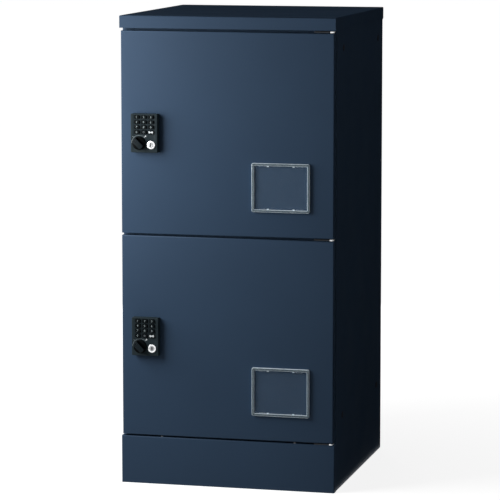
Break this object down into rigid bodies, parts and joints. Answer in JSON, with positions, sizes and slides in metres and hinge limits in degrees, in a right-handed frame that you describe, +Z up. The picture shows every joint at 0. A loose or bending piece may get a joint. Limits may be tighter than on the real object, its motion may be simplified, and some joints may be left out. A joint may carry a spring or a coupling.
{
  "type": "parcel delivery locker",
  "caption": "Floor-standing steel parcel locker with stacked doors, each with a push-button lock, turning knob, key cylinder and clear label holder.",
  "frame": {"origin": "on the floor, in the middle of the cabinet's footprint, at the centre of the floor anchor pattern", "axes": "+Z up, the doors face -Y, +X to the right as seen from the front"},
  "size_m": [0.48, 0.538, 1.03],
  "materials": {
    "painted_steel": "semi-matte powder coat, dark slate",
    "door_paint": "semi-matte powder coat, dark slate",
    "zinc_steel": "zinc-plated",
    "pin_steel": "ground",
    "rubber": "matte",
    "black_cap_plastic": "moulded",
    "white_nylon": "moulded",
    "lock_plastic": "fine-textured",
    "case_plastic": "moulded",
    "button_plastic": "moulded",
    "knob_plastic": "moulded",
    "cylinder_chrome": "bright",
    "clear_acrylic": "clear"
  },
  "bodies": {
    "cabinet": {"side_panel_left": "painted_steel", "side_panel_right": "painted_steel", "side_caps": "black_cap_plastic", "back_panel": "painted_steel", "ceiling_panel": "painted_steel", "middle_shelf": "painted_steel", "floor_panel": "painted_steel", "top_cap": "painted_steel", "plinth_cover": "painted_steel", "base_channels": "zinc_steel", "hinge_brackets": "zinc_steel", "hinge_pins": "pin_steel", "door_bumpers": "rubber"},
    "lower_door": {"lower_door_skin": "door_paint", "lower_door_inner_panel": "door_paint", "lower_pivot_washers": "white_nylon", "lower_lock_housing": "lock_plastic", "lower_lock_case": "case_plastic", "lower_cylinder_body": "cylinder_chrome", "lower_label_holder": "clear_acrylic"},
    "lower_knob": {"lower_knob": "knob_plastic", "lower_cam": "zinc_steel"},
    "lower_key_plug": {"lower_key_plug": "cylinder_chrome"},
    "lower_button_1": {"lower_button_1": "button_plastic"},
    "lower_button_2": {"lower_button_2": "button_plastic"},
    "lower_button_3": {"lower_button_3": "button_plastic"},
    "lower_button_4": {"lower_button_4": "button_plastic"},
    "lower_button_5": {"lower_button_5": "button_plastic"},
    "lower_button_6": {"lower_button_6": "button_plastic"},
    "lower_button_7": {"lower_button_7": "button_plastic"},
    "lower_button_8": {"lower_button_8": "button_plastic"},
    "lower_button_9": {"lower_button_9": "button_plastic"},
    "lower_button_0": {"lower_button_0": "button_plastic"},
    "lower_button_set": {"lower_button_set": "button_plastic"},
    "lower_button_clear": {"lower_button_clear": "button_plastic"},
    "upper_door": {"upper_door_skin": "door_paint", "upper_door_inner_panel": "door_paint", "upper_pivot_washers": "white_nylon", "upper_lock_housing": "lock_plastic", "upper_lock_case": "case_plastic", "upper_cylinder_body": "cylinder_chrome", "upper_label_holder": "clear_acrylic"},
    "upper_knob": {"upper_knob": "knob_plastic", "upper_cam": "zinc_steel"},
    "upper_key_plug": {"upper_key_plug": "cylinder_chrome"},
    "upper_button_1": {"upper_button_1": "button_plastic"},
    "upper_button_2": {"upper_button_2": "button_plastic"},
    "upper_button_3": {"upper_button_3": "button_plastic"},
    "upper_button_4": {"upper_button_4": "button_plastic"},
    "upper_button_5": {"upper_button_5": "button_plastic"},
    "upper_button_6": {"upper_button_6": "button_plastic"},
    "upper_button_7": {"upper_button_7": "button_plastic"},
    "upper_button_8": {"upper_button_8": "button_plastic"},
    "upper_button_9": {"upper_button_9": "button_plastic"},
    "upper_button_0": {"upper_button_0": "button_plastic"},
    "upper_button_set": {"upper_button_set": "button_plastic"},
    "upper_button_clear": {"upper_button_clear": "button_plastic"}
  },
  "joints": [
    {"name": "lower_door_hinge", "type": "hinge", "parent": "cabinet", "child": "lower_door", "pos_m": [0.2317, -0.2445, 0.109], "axis": [0, 0, 1], "range_deg": [0, 110]},
    {"name": "lower_knob_turn", "type": "hinge", "parent": "lower_door", "child": "lower_knob", "pos_m": [-0.192, -0.269, 0.30805], "axis": [0, 1, 0], "range_deg": [0, 90]},
    {"name": "lower_key_turn", "type": "hinge", "parent": "lower_door", "child": "lower_key_plug", "pos_m": [-0.1646, -0.269, 0.30465], "axis": [0, 1, 0], "range_deg": [0, 90]},
    {"name": "lower_button_1_press", "type": "slide", "parent": "lower_door", "child": "lower_button_1", "axis": [0, 1, 0], "range_m": [0, 0.002], "stiffness_N_per_m": 300},
    {"name": "lower_button_2_press", "type": "slide", "parent": "lower_door", "child": "lower_button_2", "axis": [0, 1, 0], "range_m": [0, 0.002], "stiffness_N_per_m": 300},
    {"name": "lower_button_3_press", "type": "slide", "parent": "lower_door", "child": "lower_button_3", "axis": [0, 1, 0], "range_m": [0, 0.002], "stiffness_N_per_m": 300},
    {"name": "lower_button_4_press", "type": "slide", "parent": "lower_door", "child": "lower_button_4", "axis": [0, 1, 0], "range_m": [0, 0.002], "stiffness_N_per_m": 300},
    {"name": "lower_button_5_press", "type": "slide", "parent": "lower_door", "child": "lower_button_5", "axis": [0, 1, 0], "range_m": [0, 0.002], "stiffness_N_per_m": 300},
    {"name": "lower_button_6_press", "type": "slide", "parent": "lower_door", "child": "lower_button_6", "axis": [0, 1, 0], "range_m": [0, 0.002], "stiffness_N_per_m": 300},
    {"name": "lower_button_7_press", "type": "slide", "parent": "lower_door", "child": "lower_button_7", "axis": [0, 1, 0], "range_m": [0, 0.002], "stiffness_N_per_m": 300},
    {"name": "lower_button_8_press", "type": "slide", "parent": "lower_door", "child": "lower_button_8", "axis": [0, 1, 0], "range_m": [0, 0.002], "stiffness_N_per_m": 300},
    {"name": "lower_button_9_press", "type": "slide", "parent": "lower_door", "child": "lower_button_9", "axis": [0, 1, 0], "range_m": [0, 0.002], "stiffness_N_per_m": 300},
    {"name": "lower_button_0_press", "type": "slide", "parent": "lower_door", "child": "lower_button_0", "axis": [0, 1, 0], "range_m": [0, 0.002], "stiffness_N_per_m": 300},
    {"name": "lower_button_set_press", "type": "slide", "parent": "lower_door", "child": "lower_button_set", "axis": [0, 1, 0], "range_m": [0, 0.002], "stiffness_N_per_m": 300},
    {"name": "lower_button_clear_press", "type": "slide", "parent": "lower_door", "child": "lower_button_clear", "axis": [0, 1, 0], "range_m": [0, 0.002], "stiffness_N_per_m": 300},
    {"name": "upper_door_hinge", "type": "hinge", "parent": "cabinet", "child": "upper_door", "pos_m": [0.2317, -0.2445, 0.5555], "axis": [0, 0, 1], "range_deg": [0, 110]},
    {"name": "upper_knob_turn", "type": "hinge", "parent": "upper_door", "child": "upper_knob", "pos_m": [-0.192, -0.269, 0.75455], "axis": [0, 1, 0], "range_deg": [0, 90]},
    {"name": "upper_key_turn", "type": "hinge", "parent": "upper_door", "child": "upper_key_plug", "pos_m": [-0.1646, -0.269, 0.75115], "axis": [0, 1, 0], "range_deg": [0, 90]},
    {"name": "upper_button_1_press", "type": "slide", "parent": "upper_door", "child": "upper_button_1", "axis": [0, 1, 0], "range_m": [0, 0.002], "stiffness_N_per_m": 300},
    {"name": "upper_button_2_press", "type": "slide", "parent": "upper_door", "child": "upper_button_2", "axis": [0, 1, 0], "range_m": [0, 0.002], "stiffness_N_per_m": 300},
    {"name": "upper_button_3_press", "type": "slide", "parent": "upper_door", "child": "upper_button_3", "axis": [0, 1, 0], "range_m": [0, 0.002], "stiffness_N_per_m": 300},
    {"name": "upper_button_4_press", "type": "slide", "parent": "upper_door", "child": "upper_button_4", "axis": [0, 1, 0], "range_m": [0, 0.002], "stiffness_N_per_m": 300},
    {"name": "upper_button_5_press", "type": "slide", "parent": "upper_door", "child": "upper_button_5", "axis": [0, 1, 0], "range_m": [0, 0.002], "stiffness_N_per_m": 300},
    {"name": "upper_button_6_press", "type": "slide", "parent": "upper_door", "child": "upper_button_6", "axis": [0, 1, 0], "range_m": [0, 0.002], "stiffness_N_per_m": 300},
    {"name": "upper_button_7_press", "type": "slide", "parent": "upper_door", "child": "upper_button_7", "axis": [0, 1, 0], "range_m": [0, 0.002], "stiffness_N_per_m": 300},
    {"name": "upper_button_8_press", "type": "slide", "parent": "upper_door", "child": "upper_button_8", "axis": [0, 1, 0], "range_m": [0, 0.002], "stiffness_N_per_m": 300},
    {"name": "upper_button_9_press", "type": "slide", "parent": "upper_door", "child": "upper_button_9", "axis": [0, 1, 0], "range_m": [0, 0.002], "stiffness_N_per_m": 300},
    {"name": "upper_button_0_press", "type": "slide", "parent": "upper_door", "child": "upper_button_0", "axis": [0, 1, 0], "range_m": [0, 0.002], "stiffness_N_per_m": 300},
    {"name": "upper_button_set_press", "type": "slide", "parent": "upper_door", "child": "upper_button_set", "axis": [0, 1, 0], "range_m": [0, 0.002], "stiffness_N_per_m": 300},
    {"name": "upper_button_clear_press", "type": "slide", "parent": "upper_door", "child": "upper_button_clear", "axis": [0, 1, 0], "range_m": [0, 0.002], "stiffness_N_per_m": 300}
  ]
}
